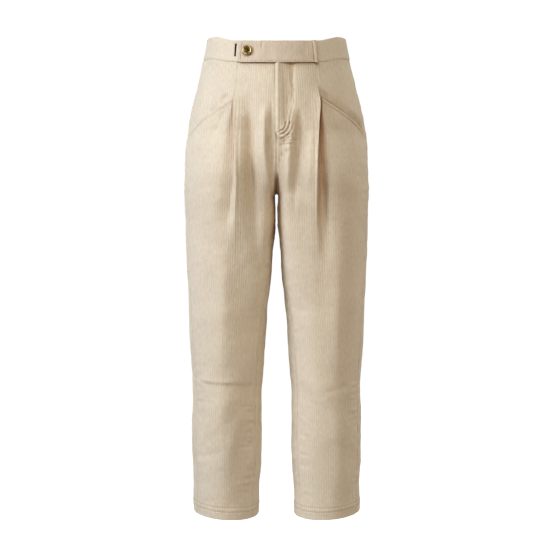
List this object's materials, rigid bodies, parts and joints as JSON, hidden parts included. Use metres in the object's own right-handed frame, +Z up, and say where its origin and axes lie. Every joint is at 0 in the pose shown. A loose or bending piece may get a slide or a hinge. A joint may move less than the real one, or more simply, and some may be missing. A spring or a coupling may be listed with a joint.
{
  "type": "corduroy trousers",
  "caption": "High-waisted corduroy trousers with a long buttoned waist tab, a pleat under each slanted pocket, and wide legs that taper to turned-up hems, filled out and hollow.",
  "frame": {"origin": "centre of the waist ring, at half the height of the waistband, where the wearer's waist holds it", "axes": "+Z up along the garment's length, -Y the front, +X the wearer's left"},
  "size_m": [0.3552, 0.2649, 0.9282],
  "materials": {
    "front_left": "soft wide-wale cotton corduroy, matt with a pale sheen at grazing angles",
    "front_right": "soft wide-wale cotton corduroy, matt with a pale sheen at grazing angles",
    "back_left": "soft wide-wale cotton corduroy, matt with a pale sheen at grazing angles",
    "back_right": "soft wide-wale cotton corduroy, matt with a pale sheen at grazing angles",
    "hip_left": "soft wide-wale cotton corduroy, matt with a pale sheen at grazing angles",
    "hip_right": "soft wide-wale cotton corduroy, matt with a pale sheen at grazing angles",
    "waistband_left": "soft wide-wale cotton corduroy, matt with a pale sheen at grazing angles",
    "waistband_right": "soft wide-wale cotton corduroy, matt with a pale sheen at grazing angles",
    "waistband_tab": "soft wide-wale cotton corduroy, matt with a pale sheen at grazing angles",
    "belt_loop": "soft wide-wale cotton corduroy, matt with a pale sheen at grazing angles",
    "button": "polished gold-coloured rim with a dark sunk centre",
    "bar_tack": "dense black thread"
  },
  "bodies": {
    "root": {"front_left": "front_left", "front_right": "front_right", "back_left": "back_left", "back_right": "back_right", "hip_left": "hip_left", "hip_right": "hip_right", "waistband_left": "waistband_left", "waistband_right": "waistband_right", "waistband_tab": "waistband_tab", "belt_loop": "belt_loop", "button": "button", "bar_tack": "bar_tack"}
  },
  "joints": []
}
